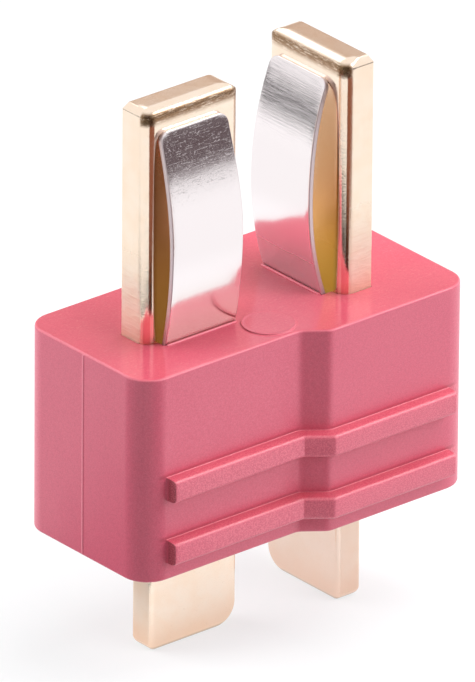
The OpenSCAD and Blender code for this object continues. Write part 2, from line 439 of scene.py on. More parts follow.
STEM_X = -3.365  # middle of the stem blade along X, in millimetres
STEM_Y = -1.02  # its sprung face
CROSS_X = 3.15  # the crossbar blade's sprung face
SPRING_SHIFT = 0.06  # a spring's middle from its blade's, towards the T's centre
SLOT_GAP = 0.02  # between a contact and the nylon
SLOT_EDGE = 0.02  # how far a slot's edge is broken at the face
POCKET = 0.6  # how deep the slot round a contact is open
SHOULDER = 3  # how far below the mating face a blade ends in its shoulder
TAIL_SHIFT = {"stem": 0.17, "crossbar": -0.04}  # a tail's middle from its blade's
TAIL_CORNERS = (0.35, 0.95, 0.3, 0.3)  # radii, the small and the large lower corner first
SPRING_FOOT = 0.55  # how far a spring goes below the mating face
SPRING_LANDING = 0.2  # how far below its free end a spring meets the blade
SPRING_CORNER = 0.45  # radius of the free end's corners
SPRING_NARROWING = 0.05  # share of its width that a spring loses towards its free end
SPRING_LEAN = {"stem": -0.2, "crossbar": 0.12}  # how far a spring's free end is off its line
PLACES = {"stem": on_stem, "crossbar": on_crossbar}


def crowns(springs):
    """How far each spring stands out, by the side of the T it belongs to."""
    return {"stem": springs.stem_crown, "crossbar": springs.cross_crown}


def bow(spring, crown):
    """Radius of a spring's inner side and how far its centre lies behind the blade's face. The
    inner side is a circle through its crown and through the face at its landing height."""
    inner = (crown - spring.thick) / MM
    rise = (spring.reach - spring.crown_z) / MM - SPRING_LANDING
    radius = (rise**2 + inner**2) / (2 * inner)
    return radius, radius - inner


def foot_stand(spring, crown):
    """How far a spring's outer side stands off the blade at the mating face."""
    radius, behind = bow(spring, crown)
    return math.sqrt((radius + spring.thick / MM) ** 2 - (spring.crown_z / MM) ** 2) - behind


# The housing


PARTING_UP = 0.02  # how far the parting line stands out, in millimetres
MARK_FROM_END = 7.31  # the round mark's middle from the stem end
MARK_FROM_WALL = 0.2  # its edge from the narrow wall


def half_outline(h):
    """The front half of the housing's outline from the middle of the stem end to the middle of
    the crossbar end: wall points, rib points, the wall's outward normals and how much of a rib
    there is at each point. The rib points are the wall moved out by a rib's stand, with the
    step's two corners kept crisp."""
    end, narrow, wide = h.long / 2 / MM, h.stem_width / 2 / MM, h.crossbar_width / 2 / MM
    r, q, out = h.corner / MM, h.step_corner / MM, h.rib_out / MM
    x0 = -end + h.step_start / MM
    x1 = x0 + h.step_long / MM
    lean = math.atan2(wide - narrow, x1 - x0)
    back = q * math.tan(lean / 2)
    wall, rib, normal, amount = [], [], [], []

    def station(points, ribs, normals, amounts):
        """Adds a stretch of the outline. Without rib points, the ribs lie on the wall."""
        n = len(points)
        wall.append(points)
        rib.append(points if ribs is None else ribs)
        normal.append(np.broadcast_to(normals, (n, 2)))
        amount.append(np.broadcast_to(amounts, (n,)).astype(float))

    def arc(x, y, radius, start, stop, steps):
        """Points on a circle about (x, y) between two angles, and their outward normals."""
        way = ways(np.linspace(start, stop, steps + 1))
        return np.array([x, y]) + radius * way, way

    def end_wall(x, way, sign):
        """Half of an end wall, with closely set points where the parting line stands out."""
        y = np.array([0, 0.015, 0.03, 0.042, 0.055, 0.07, 0.1])
        y = np.concatenate([y, np.linspace(0.3, way - 0.02, 5)])
        y = y if sign < 0 else y[::-1]
        points = np.column_stack([np.full(len(y), x), -y])
        station(points, None, np.array([[sign, 0.0]]), 0.0)

    def rib_end(x, inward):
        """Columns through a rib's square end, its edge rounded: the rib rises from none to all
        of itself over 0.16 mm, and half of that rise is at one place."""
        reach = np.array([-0.03, -0.012, -0.004, 0.0, 0.004, 0.014, 0.032, 0.058, 0.09, 0.13])
        grown = np.array([0.0, 0.03, 0.10, 0.5, 0.86, 0.93, 0.968, 0.990, 0.998, 1.0])
        xs = x + inward * reach
        if inward < 0:
            xs, grown = xs[::-1], grown[::-1]
        return xs, grown

    def ribbed(y, xs, grown):
        """A straight wall with its ribs."""
        line = np.column_stack([xs, np.full(len(xs), y)])
        station(line, line - [0, out], np.array([[0.0, -1.0]]), grown)

    end_wall(-end, narrow - r, -1)
    points, way = arc(-end + r, -narrow + r, r, HALF_TURN, 1.5 * HALF_TURN - 0.04, 16)
    station(points, None, way, 0.0)
    xs, grown = rib_end(-end + r, 1)
    run = np.linspace(xs[-1] + 0.3, x0 - back - 0.3, 12)
    ribbed(-narrow, np.concatenate([xs, run]), np.concatenate([grown, np.ones(len(run))]))
    # The hollow corner of the step, whose centre is outside the wall. On a rib it is nearly sharp
    down = np.array([math.cos(lean), -math.sin(lean)])
    side = np.array([-math.sin(lean), -math.cos(lean)])
    t = np.linspace(0, lean, 7)
    way = np.column_stack([-np.sin(t), -np.cos(t)])
    centre = np.array([x0 - back, -narrow - q])
    kink = np.array([x0 - out * math.tan(lean / 2), -narrow - out])
    small = 0.05  # radius of a rib's hollow corner
    hub = np.array([kink[0] - small * math.tan(lean / 2), kink[1] - small])
    station(centre - q * way, hub - small * way, way, 1.0)
    # The slanted wall
    middle = (np.array([x0, -narrow]) + np.array([x1, -wide])) / 2
    t = np.linspace(-0.3, 0.3, 5)[:, None]
    ribs = middle + side * out + down * t
    station(middle + down * t * 0.9, ribs, side[None], 1.0)
    # The outer corner of the step, tighter on a rib than on the wall
    t = np.linspace(lean, 0, 7)
    way = np.column_stack([-np.sin(t), -np.cos(t)])
    centre = np.array([x1 + back, -wide + q])
    kink = np.array([x1 - out * math.tan(lean / 2), -wide - out])
    big = 0.25  # radius of a rib's outer corner
    hub = np.array([kink[0] + big * math.tan(lean / 2), kink[1] + big])
    station(centre + q * way, hub + big * way, way, 1.0)
    xs, grown = rib_end(end - r, -1)
    run = np.linspace(x1 + back + 0.15, xs[0] - 0.3, 11)
    ribbed(-wide, np.concatenate([run, xs]), np.concatenate([np.ones(len(run)), grown]))
    points, way = arc(end - r, -wide + r, r, -QUARTER + 0.04, 0, 16)
    station(points, None, way, 0.0)
    end_wall(end, wide - r, 1)
    return [np.concatenate(part) for part in (wall, rib, normal, amount)]


def wall_rows(h):
    """The rows of the housing's side, from the solder side up: how far each is drawn in by a
    rim's rounding, how far out it is on a rib as a share of the rib's stand, and its height
    where there is a rib and where there is none."""
    low, high, rim = h.solder_z / MM, h.mating_z / MM, h.rim / MM
    out, tall, edge, root = h.rib_out / MM, h.rib_tall / MM, h.rib_edge / MM, 0.04
    t, border = quarter(6), np.array([0.06])
    inset = [rim + border, rim * (1 - np.sin(t))]
    stand = [np.zeros(1), np.zeros(7)]
    height = [np.array([low]), low + rim * (1 - np.cos(t))]
    plain = list(height)
    for k in range(2):
        z = low + (h.rib_low + k * h.rib_pitch) / MM
        a, b = quarter(4), quarter(6)
        d = np.concatenate([
            root * (1 - np.cos(a)),
            [out * 0.35],
            out - edge + edge * np.sin(b),
            [out],
            out - edge + edge * np.cos(b),
            [out * 0.35],
            root * (1 - np.cos(a[::-1])),
        ])
        y = np.concatenate([
            z - root + root * np.sin(a),
            [z],
            z + edge * (1 - np.cos(b)),
            [z + tall / 2],
            z + tall - edge + edge * np.sin(b),
            [z + tall],
            z + tall + root * (1 - np.sin(a[::-1])),
        ])
        spread = 0.002 * (np.arange(len(d)) - len(d) / 2)  # keeps rows apart on the plain wall
        start = height[-1][-1]
        gap = np.array([start + 0.03, (start + y[0]) / 2, y[0] - 0.06])
        height += [gap, y]
        plain += [gap, y + spread]
        stand += [np.zeros(3), d / out]
        inset += [np.zeros(3), np.zeros(len(d))]
    start = height[-1][-1]
    gap = np.concatenate([[start + 0.06], np.linspace(start + 0.6, high - rim - 0.03, 5)])
    height += [gap, high - rim + rim * np.sin(t), np.array([high])]
    plain += [gap, *height[-2:]]
    stand += [np.zeros(len(gap)), np.zeros(8)]
    inset += [np.zeros(len(gap)), rim * (1 - np.cos(t)), rim + border]
    return [np.concatenate(part) for part in (inset, stand, height, plain)]


def slot_outline(blades, springs, crown, gap):
    """The open slot round a blade and its spring at the mating face, in the contact's frame."""
    w, t, roll = blades.wide / 2 / MM + gap, blades.thick / MM + gap, blades.roll / MM + gap
    half = springs.wide / 2 / MM + gap
    left, right = SPRING_SHIFT - half, SPRING_SHIFT + half
    front = -foot_stand(springs, crown) - gap / 4
    corners = [
        (-w, t), (-w, -gap), (left, -gap), (left, front),
        (right, front), (right, -gap), (w, -gap), (w, t),
    ]
    return filleted(corners, [0.06, roll, 0, 0.03, 0.03, 0, roll, 0.06], 6)


def tail_outline(blades, side, gap):
    """The open slot round a tail at the solder side, in the contact's frame."""
    w, t, s = blades.tail_wide / 2 / MM + gap, blades.tail_thick / MM + gap, TAIL_SHIFT[side]
    corners = [(s - w, t), (s - w, -gap), (s + w, -gap), (s + w, t)]
    return filleted(corners, [0.06, 0.18, 0.18, 0.06], 5)


def placed(outline, side):
    """An outline in a contact's frame, as an outline in the row frame."""
    flat = PLACES[side](np.column_stack([outline, np.zeros(len(outline))]))
    return flat[:, :2]


def pocket(shell, outline, side, z, down):
    """A slot's opening, its edge broken a little, its upright walls and its floor. The outline
    is a function of its gap. Returns the opening's outline on the face."""
    wide, tight = (placed(outline(gap), side) for gap in (SLOT_GAP + SLOT_EDGE, SLOT_GAP))
    depths = [(wide, 0), (tight, SLOT_EDGE), (tight, 3 * SLOT_EDGE), (tight, POCKET)]
    rows = [np.column_stack([ring, np.full(len(ring), z + down * depth)]) for ring, depth in depths]
    shell.rows(np.stack(rows))
    shell.cap(rows[-1])
    return wide


def housing_shell(h, blades, springs):
    """The housing as one closed surface. Its side is the outline carried up the wall's rows;
    at a point the rows move from the wall towards the rib points by the rib's share, and in
    along the normal by the rim's rounding. The parting line adds a low ridge up both ends."""
    wall, rib, normal, amount = half_outline(h)
    flip = np.array([1.0, -1.0])
    keep = slice(-2, 0, -1)  # the far half without the two points on the middle line
    wall = np.concatenate([wall, (wall * flip)[keep]])
    rib = np.concatenate([rib, (rib * flip)[keep]])
    normal = np.concatenate([normal, (normal * flip)[keep]])
    amount = np.concatenate([amount, amount[keep]])
    inset, stand, height, plain = wall_rows(h)
    share_out = stand[:, None] * amount[None]
    away = abs(wall[:, 1])
    at_end = abs(normal[:, 0]) > 0.99
    ridge = PARTING_UP * at_end * (1 - smooth_step((away - 0.015) / 0.055))
    low, high = h.solder_z / MM, h.mating_z / MM
    fade = smooth_step((height - low) / 0.15) * smooth_step((high - height) / 0.15)
    flat = wall[None] + (rib - wall)[None] * share_out[..., None]
    flat = flat + normal[None] * (fade[:, None] * ridge[None] - inset[:, None])[..., None]
    z = plain[:, None] + (height - plain)[:, None] * amount[None]
    shell = Shell()
    shell.rows(np.concatenate([flat, z[..., None]], -1))

    tops, tails = [], []
    for side, crown in crowns(springs).items():
        tops.append(pocket(shell, partial(slot_outline, blades, springs, crown), side, high, -1))
        tails.append(pocket(shell, partial(tail_outline, blades, side), side, low, 1))
    mark = round_mark(h, shell, high)
    shell.sheet(flat[-1], [*tops, mark], high)
    shell.sheet(flat[0], tails, low)
    for side, crown in crowns(springs).items():
        lip(shell, springs, crown, side, high)
    return shell


def round_mark(h, shell, z):
    """The round mark on the mating face: a low disc with a finer raised edge, as a profile
    turned about its middle. Returns its outline on the face."""
    r, up = h.mark_across / 2 / MM, h.mark_up / MM
    x = -h.long / 2 / MM + MARK_FROM_END
    y = -h.stem_width / 2 / MM + MARK_FROM_WALL + r
    out = np.array([0.03, 0.008, 0.0, -0.01, -0.03, -0.06, -0.085, -0.11, -0.2, -0.6])
    rise = np.array([0.0, 0.3, 0.75, 0.95, 1.0, 0.98, 0.87, 0.8, 0.78, 0.78]) * up
    way = ways(full_turn(96))
    rings = np.array([x, y]) + (r + out)[:, None, None] * way[None]
    heights = np.broadcast_to((z + rise)[:, None, None], (len(out), len(way), 1))
    rows = np.concatenate([rings, heights], -1)
    shell.rows(rows)
    shell.cap(rows[-1])
    return rings[0]


def lip(shell, springs, crown, side, z):
    """The thin lip that the mould leaves in front of a spring: a low rounded bar as wide as
    the spring, its section half an ellipse, its ends drawn down."""
    half = springs.wide / 2 / MM
    front = -foot_stand(springs, crown) - 0.076
    deep, tall = 0.07, 0.062
    along = np.concatenate([[0, 0.02, 0.06, 0.12], np.linspace(0.3, 2 * half - 0.3, 16)])
    along = np.concatenate([along, 2 * half - np.array([0.12, 0.06, 0.02, 0])]) - half + SPRING_SHIFT
    ends = np.minimum(1, (half - abs(along - SPRING_SHIFT)) / 0.12)
    swell = 0.3 + 0.7 * np.sqrt(np.clip(1 - (1 - ends) ** 2, 0, 1))
    turn = full_turn(14)
    y = front + deep * np.cos(turn)[None] * swell[:, None]
    up = z + tall * np.sin(turn)[None] * swell[:, None]
    x = np.broadcast_to(along[:, None], y.shape)
    points = PLACES[side](np.stack([x, y, up], -1).reshape(-1, 3)).reshape(*y.shape, 3)
    shell.rows(points)
    shell.cap(points[0])
    shell.cap(points[-1])


# The blades and tails


def rounded_in(x, y, w, t, front, back):
    """Carries points of a rectangle w wide and t deep to one with rounded corners: in a corner's
    square, a point (a, b) goes to (a, b) times max(a, b) / length(a, b)."""
    half = w / 2
    radius = np.where(y < t / 2, front, back)
    a = np.clip((abs(x) - (half - radius)) / radius, 0, 1)
    deep = np.where(y < t / 2, (radius - y) / radius, (y - (t - radius)) / radius)
    b = np.clip(deep, 0, 1)
    both = (a > 0) & (b > 0)
    size = np.where(both, np.maximum(a, b) / np.maximum(np.hypot(a, b), 1e-12), 1)
    new_x = np.where(both, np.sign(x) * (half - radius + radius * a * size), x)
    corner_y = np.where(y < t / 2, radius - radius * b * size, t - radius + radius * b * size)
    return new_x, np.where(both, corner_y, y)


def soft_low(first, second, width):
    """The lesser of two heights, with the crease between them rounded over this width."""
    near = np.clip(0.5 + 0.5 * (second - first) / width, 0, 1)
    return second * (1 - near) + first * near - width * near * (1 - near)


def blade_shell(h, b):
    """A blade as a height over its section. The tip's height is the least of the flat top, the
    roll (a quarter round along the front that turns each front corner as a ball) and the three
    bevels' slopes, less a small rounding at the rim; the sides run straight down from it."""
    w, t, roll = b.wide / MM, b.thick / MM, b.roll / MM
    tip = (h.mating_z + b.reach) / MM
    edge, tip_roll = 0.035, 0.38
    bevel_deep, bevel_tall = 0.18, 0.3  # the tip's bevels at the back and at the outer side
    inner_deep, inner_slope = 0.45, 0.95
    fine = edge * (1 - np.cos(quarter(4)))
    x = np.concatenate([
        -w / 2 + fine,
        -w / 2 + np.array([0.07, 0.11, 0.15, 0.18, 0.21, 0.25, 0.31, 0.38, 0.44, roll]),
        np.linspace(-w / 2 + roll + 0.15, w / 2 - roll - 0.15, 16),
        w / 2 - np.array([roll, 0.46, 0.43, 0.40, 0.37, 0.33, 0.26, 0.2, 0.14, 0.09, 0.06]),
        w / 2 - fine[::-1],
    ])
    y = np.concatenate([
        roll - roll * np.sin(quarter(14)[::-1]),
        np.linspace(roll + 0.08, t - 0.3, 6),
        [t - 0.24, t - 0.21, t - 0.18, t - 0.15, t - 0.11, t - 0.07],
        t - fine[::-1],
    ])
    x, y = np.meshgrid(x, y)
    x, y = rounded_in(x, y, w, t, roll, 0.05)
    ball = 1 - smooth_step((y - roll) / 0.35)
    across = np.maximum(abs(x) - (w / 2 - roll), 0) * ball
    deep = np.maximum(roll - y, 0)
    from_hub = np.minimum(np.hypot(across, deep), roll)
    roll_z = tip - tip_roll * (1 - np.sqrt(1 - (from_hub / roll) ** 2))
    back_z = tip - (y - (t - bevel_deep)) * (bevel_tall / bevel_deep)
    outer_z = tip - (bevel_deep - (x + w / 2)) * (bevel_tall / bevel_deep)
    inner_z = tip - (x - (w / 2 - inner_deep)) * inner_slope
    z = np.full(x.shape, tip)
    for slope, crease in ((back_z, 0.03), (outer_z, 0.03), (inner_z, 0.22)):
        z = soft_low(z, slope, crease)
    z = soft_low(z, roll_z, 0.02)
    rim = np.minimum(np.minimum(w / 2 - abs(x), t - y), edge) / edge
    z = z - edge * (1 - np.sqrt(np.clip(1 - (1 - rim) ** 2, 0, 1))) * (y > roll)
    top = np.stack([x, y, z], -1)
    shell = Shell()
    shell.rows(top, closed=False)
    ring = np.concatenate([top[0], top[1:, -1], top[-1, -2::-1], top[-2:0:-1, 0]])
    shoulder = h.mating_z / MM - SHOULDER
    drops = np.array([0, 0.02, 0.08])
    rows = [ring - [0, 0, drop] for drop in drops]
    for part in np.linspace(0, 1, 9)[1:]:
        row = rows[2].copy()
        row[:, 2] += (shoulder - row[:, 2]) * part
        rows.append(row)
    shell.rows(np.stack(rows))
    shell.cap(rows[-1])
    return shell


def plate_outline(w, low, high, radii, inset, steps):
    """A tail's outline seen from the front, drawn in by an inset across and one along."""
    corners = np.array([(-w / 2, low), (w / 2, low), (w / 2, high), (-w / 2, high)], float)
    centre = corners.mean(0)
    moved = corners + np.sign(centre - corners) * inset
    return filleted(moved, [max(r - max(inset), 0.004) for r in radii], steps)


def add_tail(shell, h, b, side):
    """Adds the solder tail to a blade, as a plate: its outline, with two rounded lower corners,
    is drawn in along quarter rounds at the front and at the back."""
    w, t = b.tail_wide / MM, b.tail_thick / MM
    shoulder = h.mating_z / MM - SHOULDER + 0.05
    front, back, side_back, end = 0.19, 0.24, 0.07, 0.26
    a = quarter(7)
    profile = [((1 - math.sin(p)) * front, (1 - math.sin(p)) * end, front * (1 - math.cos(p))) for p in a]
    profile += [(0.0, 0.0, front + 0.03), (0.0, 0.0, t - back - 0.03)]
    profile += [
        ((1 - math.cos(p)) * side_back, (1 - math.cos(p)) * end, t - back + back * math.sin(p)) for p in a
    ]
    rows = []
    for across, along, deep in profile:
        inset = np.array([across, along])
        ring = plate_outline(w, 0, shoulder, TAIL_CORNERS, inset, 14)
        rows.append(np.column_stack([ring[:, 0] + TAIL_SHIFT[side], np.full(len(ring), deep), ring[:, 1]]))
    shell.rows(np.stack(rows))
    shell.cap(rows[0])
    shell.cap(rows[-1])


def spring_shell(h, s, crown, lean):
    """A leaf spring as a strip with rounded edges, first laid out flat, its length along the
    bow, then bent: a point at angle a from the crown and at a depth d below the outer side goes
    to the circle of radius R - d about a centre behind the blade. The free half narrows a little
    and leans to one side."""
    radius, behind = bow(s, crown)
    w, t = s.wide / MM, s.thick / MM
    outer = radius + t
    mating, crown_z = h.mating_z / MM, s.crown_z / MM
    foot = -math.asin((crown_z + SPRING_FOOT) / outer) * outer
    free = math.asin((s.reach / MM - crown_z) / outer) * outer
    edge = 0.05
    a = quarter(5)
    profile = [(edge * (1 - math.sin(p)), edge * (1 - math.cos(p))) for p in a]
    profile += [(0.0, t / 2)]
    profile += [(edge * (1 - math.cos(p)), t - edge + edge * math.sin(p)) for p in a]
    rows = []
    shrink = [0.0, 0.3, 0.6, 0.85]

    def filled(inset, deep, order):
        """Rings that shrink towards the strip's middle line, or grow from it, at one depth."""
        ring = even_ring(w, foot, free, inset)
        spine = np.column_stack([np.zeros(len(ring)), np.clip(ring[:, 1], foot + 0.6, free - 0.6)])
        for part in order:
            flat = spine + (ring - spine) * part
            rows.append(np.column_stack([flat, np.full(len(flat), deep)]))

    filled(edge, 0.0, shrink)
    for inset, deep in profile:
        ring = even_ring(w, foot, free, inset)
        rows.append(np.column_stack([ring, np.full(len(ring), deep)]))
    filled(edge, t, shrink[::-1])
    grid = np.stack(rows)
    across, along, deep = grid[..., 0], grid[..., 1], grid[..., 2]
    angle = along / outer
    y = behind - (outer - deep) * np.cos(angle)
    z = mating + crown_z + (outer - deep) * np.sin(angle)
    y = np.minimum(y, -0.002)
    upper = smooth_step(along / free)
    x = across * (1 - SPRING_NARROWING * upper) + SPRING_SHIFT + lean * upper
    shell = Shell()
    shell.rows(np.stack([x, y, z], -1))
    return shell


def even_ring(w, low, high, inset):
    """A strip's outline with the same points at every inset: a rectangle whose two upper corners
    are rounded, its long sides divided alike so that left and right stay level."""
    half, r = w / 2 - inset, SPRING_CORNER - inset
    low, high = low + inset, high - inset
    turn = quarter(10)
    sides = np.linspace(low + 0.02, high - r - 0.01, 44)
    bottom = np.linspace(-half, half, 14)
    top = np.linspace(half - r - 0.01, -half + r + 0.01, 11)
    right = np.column_stack([np.full(44, half), sides])
    left = np.column_stack([np.full(44, -half), sides[::-1]])
    corner_r = np.column_stack([half - r + r * np.cos(turn), high - r + r * np.sin(turn)])
    corner_l = np.column_stack([-half + r - r * np.sin(turn), high - r + r * np.cos(turn)])
    return np.concatenate([
        np.column_stack([bottom, np.full(14, low)]),
        right, corner_r,
        np.column_stack([top, np.full(11, high)]),
        corner_l, left,
    ])


# Materials


def nylon_finish(h):
    """Glass-filled nylon: coral red, faintly cloudy, with fine paler and darker grains and a satin skin,
    paler along the parting line, and a little worn on its rounded edges. Painted light and shade: a bluer
    sheen on the side walls, highlights on the rounded edges and on the ribs' grain, a dark line above each
    rib, and dark rib ends at the stem end."""
    m = Finish("coral_nylon")
    up = m.facing("Z").ramp(0.6, 0.95)
    sides = 1 - up
    clouds = m.noise(1.6, 3).ramp(0.3, 0.75)
    grain = m.noise(0.12, 3, roughness=0.7)
    fine = m.noise(0.05, 2)
    fibres = m.noise(0.06, 1, stretch=(0.22, 0.05, 0.05)).ramp(0.64, 0.72)
    tone = m.mix(clouds * 0.25, tuple(h.nylon), tuple(h.nylon_pale))
    tone = m.mix(grain.ramp(0.35, 0.75) * (sides * 0.34 + 0.22), tone, tuple(0.70 * c for c in h.nylon))
    tone = m.mix(fine.ramp(0.35, 0.75) * (sides * 0.36 + 0.2), tone, (0.82, 0.20, 0.27))
    tone = m.mix(fibres * 0.12, tone, (0.88, 0.40, 0.42))
    # Paler along the parting line on the end walls.
    ridge = (1 - abs(m.axis("Y")).ramp(0.02, 0.05)) * abs(m.facing("X")).ramp(0.6, 0.8)
    tone = m.mix(ridge * 0.45, tone, (0.90, 0.36, 0.42))
    # Painted sheen: the side walls are tinted bluer than the mating face, for the haze of light on them.
    tone = m.mix(sides * 0.4, tone, (0.70, 0.125, 0.22))
    # Painted highlight, with some edge wear: rounded edges and rims, their normals half up, are painted
    # paler.
    edges = m.facing("Z").ramp(0.2, 0.5) * (1 - m.facing("Z").ramp(0.85, 0.98))
    tone = m.mix(edges * 0.25, tone, (0.92, 0.26, 0.30))
    lowest, highest = (h.solder_z + h.rib_low) / MM, (h.solder_z + h.rib_low + h.rib_pitch) / MM
    tall, end, wall = h.rib_tall / MM, h.long / 2 / MM, h.stem_width / 2 / MM
    from_rib = abs(m.axis("Z") - (lowest + tall / 2)).low(abs(m.axis("Z") - (highest + tall / 2)))
    off_wall = abs(m.axis("Y"))
    proud = (1 - from_rib.ramp(tall / 2 - 0.02, tall / 2 + 0.03)) * off_wall.ramp(wall + 0.05, wall + 0.2)
    # Painted shade: a dark line on the walls just above each rib, where the wall meets the rib's top.
    over_rib = abs(m.axis("Z") - (lowest + tall + 0.05)).low(abs(m.axis("Z") - (highest + tall + 0.05)))
    flank = abs(m.facing("Y")).ramp(0.93, 0.99) * off_wall.ramp(wall - 0.1, wall - 0.02)
    tone = m.mix((1 - over_rib.ramp(0.03, 0.13)) * flank * 0.4, tone, (0.36, 0.03, 0.05))
    # Painted shade: the ribs' square ends at the stem end are painted dark.
    rib_end_shade = proud * (1 - m.facing("X").ramp(-0.7, -0.35)) * (1 - m.axis("X").ramp(1.2 - end, 1.5 - end))
    tone = m.mix(rib_end_shade * 0.75, tone, (0.28, 0.015, 0.03))
    # Painted highlights: a pale speckle on the ribs stands in for the glints of their grain.
    tone = m.mix(proud * fine.ramp(0.42, 0.6) * 0.35, tone, (0.92, 0.24, 0.29))
    skin = m.bump((grain * 0.8 + fine * 0.5) * (sides * 0.5 + 0.5), 0.003)
    skin = m.bump(m.noise(0.09, 2) * (proud * 0.8 + 0.05), 0.016, skin)
    skin = m.bump(m.noise(0.9, 2), 0.005, skin)
    rough = grain.ramp(0.3, 0.7) * 0.06 + (h.gloss - 0.1) + sides * 0.2
    return m.set(Base_Color=tone, Roughness=rough, Normal=skin, IOR=1.7)


def gold_finish(h, b, side):
    """Gold plating over rolled strip: smooth on its faces with tiny pits, rough and speckled on the roll
    of the tip, sheared across its narrow sides low down, and darker along the tails' lowest edge. Painted
    light and shade: a brown band on the tip's roll and a dark patch at its front corner, for dark
    surroundings mirrored there; an orange tint just above the mating face, for the nylon mirrored there; a
    deeper tan low on the tails, for the shaded floor they mirror, the crossbar's tail darker and pinker
    too; and in the gap behind the spring a faint warm glow, with an amber tone on the crossbar, for the
    light that goes to and fro between the metals."""
    m = Finish("gold_plate_" + side)
    if side == "stem":
        across, front = m.axis("X") - STEM_X, m.axis("Y") - STEM_Y
        narrow = abs(m.facing("X")).ramp(0.9, 0.99)
        long_way, short_way = (2.5, 0.8), (0.5, 0.12)
    else:
        across, front = m.axis("Y"), m.axis("X") - CROSS_X
        narrow = abs(m.facing("Y")).ramp(0.9, 0.99)
        long_way, short_way = (0.8, 2.5), (0.12, 0.5)
    height, face = m.axis("Z"), h.mating_z / MM
    tip = face + b.reach / MM
    pits = m.noise(0.09, 3, roughness=0.62)
    waves = m.noise(0.7, 2)
    tone = m.mix(waves.ramp(0.3, 0.75) * 0.3, tuple(b.gold), tuple(b.gold_deep))
    tone = m.mix(pits.ramp(0.64, 0.74) * 0.25, tone, (0.62, 0.36, 0.16))
    # Painted shade: the tails turn a deeper tan towards the floor, for the shaded floor they mirror there.
    ends = 1 - height.ramp(0.1, 1.7)
    tone = m.mix(ends * 0.55, tone, (0.95, 0.62, 0.42))
    # Painted shade: the crossbar's tail is also darker and pinker towards its bottom.
    if side == "crossbar":
        tone = m.mix((1 - height.ramp(2.5, 5.5)) * 0.45, tone, (0.80, 0.58, 0.50))
    tone = m.mix((1 - height.ramp(0.03, 0.2)) * 0.75, tone, (0.40, 0.29, 0.22))
    # The tip's roll is rough and speckled; its brown band is also painted reflection, for the dark
    # surroundings that it mirrors there.
    band = height.ramp(tip - 0.78, tip - 0.42) * (1 - height.ramp(tip - 0.24, tip - 0.08))
    band = band * (1 - front.ramp(0.3, 0.42))
    specks = m.noise(0.1, 4, stretch=(*short_way, 0.07), roughness=0.75)
    tone = m.mix(band * specks.ramp(0.24, 0.54) * 0.92, tone, (0.30, 0.165, 0.08))
    # Painted reflection: a dark speckled patch at the tip's front corner, for the dark surroundings its
    # rounding mirrors.
    beside = abs(across + (b.wide / 2 / MM - 0.22)).high(abs(height - (tip - 0.42)))
    dark_corner_reflection = 1 - beside.high(front - 0.1).ramp(0.08, 0.34)
    tone = m.mix(dark_corner_reflection * specks.ramp(0.2, 0.5) * 0.9, tone, (0.16, 0.10, 0.05))
    # Painted reflection: an orange tint just above the mating face, for the red nylon the blade mirrors
    # there.
    foot = (1 - height.ramp(face + 0.02, face + 0.72)) * height.ramp(face - 0.18, face + 0.02)
    tone = m.mix(foot * 0.35, tone, (0.80, 0.42, 0.26))
    low = 1 - height.ramp(face + 0.62, face + 4.42)
    shear = m.noise(0.1, 2, stretch=(*long_way, 0.13), distortion=0.5)
    sheared = narrow * low * height.ramp(face - 0.38, face + 0.02)
    tone = m.mix(sheared * shear.ramp(0.5, 0.66) * 0.22, tone, (0.80, 0.50, 0.34))
    skin = m.bump(pits * 0.8 + waves * 1.2, 0.003)
    skin = m.bump(shear * sheared, 0.03, skin)
    skin = m.bump(specks * band, 0.02, skin)
    # Painted light: in the gap behind the spring the gold glows faintly warm, and on the crossbar it is
    # also painted amber, for the light that goes to and fro between the metals there.
    gap = (1 - abs(across).ramp(1.7, 2.0)) * (1 - front.ramp(0.02, 0.08))
    gap = gap * (1 - height.ramp(tip - 1.8, tip - 0.9)) * height.ramp(face - 0.48, face - 0.08)
    upper, lower = (0.06, 0.028, 0.012), (0.10, 0.052, 0.012)
    if side == "crossbar":
        upper, lower = (0.0, 0.0, 0.0), (0.20, 0.11, 0.016)
        tone = m.mix(gap * 0.7, tone, (0.66, 0.46, 0.27))
    glow = m.mix(height.ramp(face + 1.12, face + 5.12), lower, upper)
    rough = m.noise(0.3, 2) * 0.1 + (b.gloss - 0.04) + narrow * (low * 0.3 + 0.1) + band * 0.12
    return m.set(
        Base_Color=tone,
        Metallic=1 - sheared * 0.5,
        Roughness=rough,
        Normal=skin,
        Emission_Color=m.mix(gap, (0.0, 0.0, 0.0), glow),
        Emission_Strength=1.0,
    )


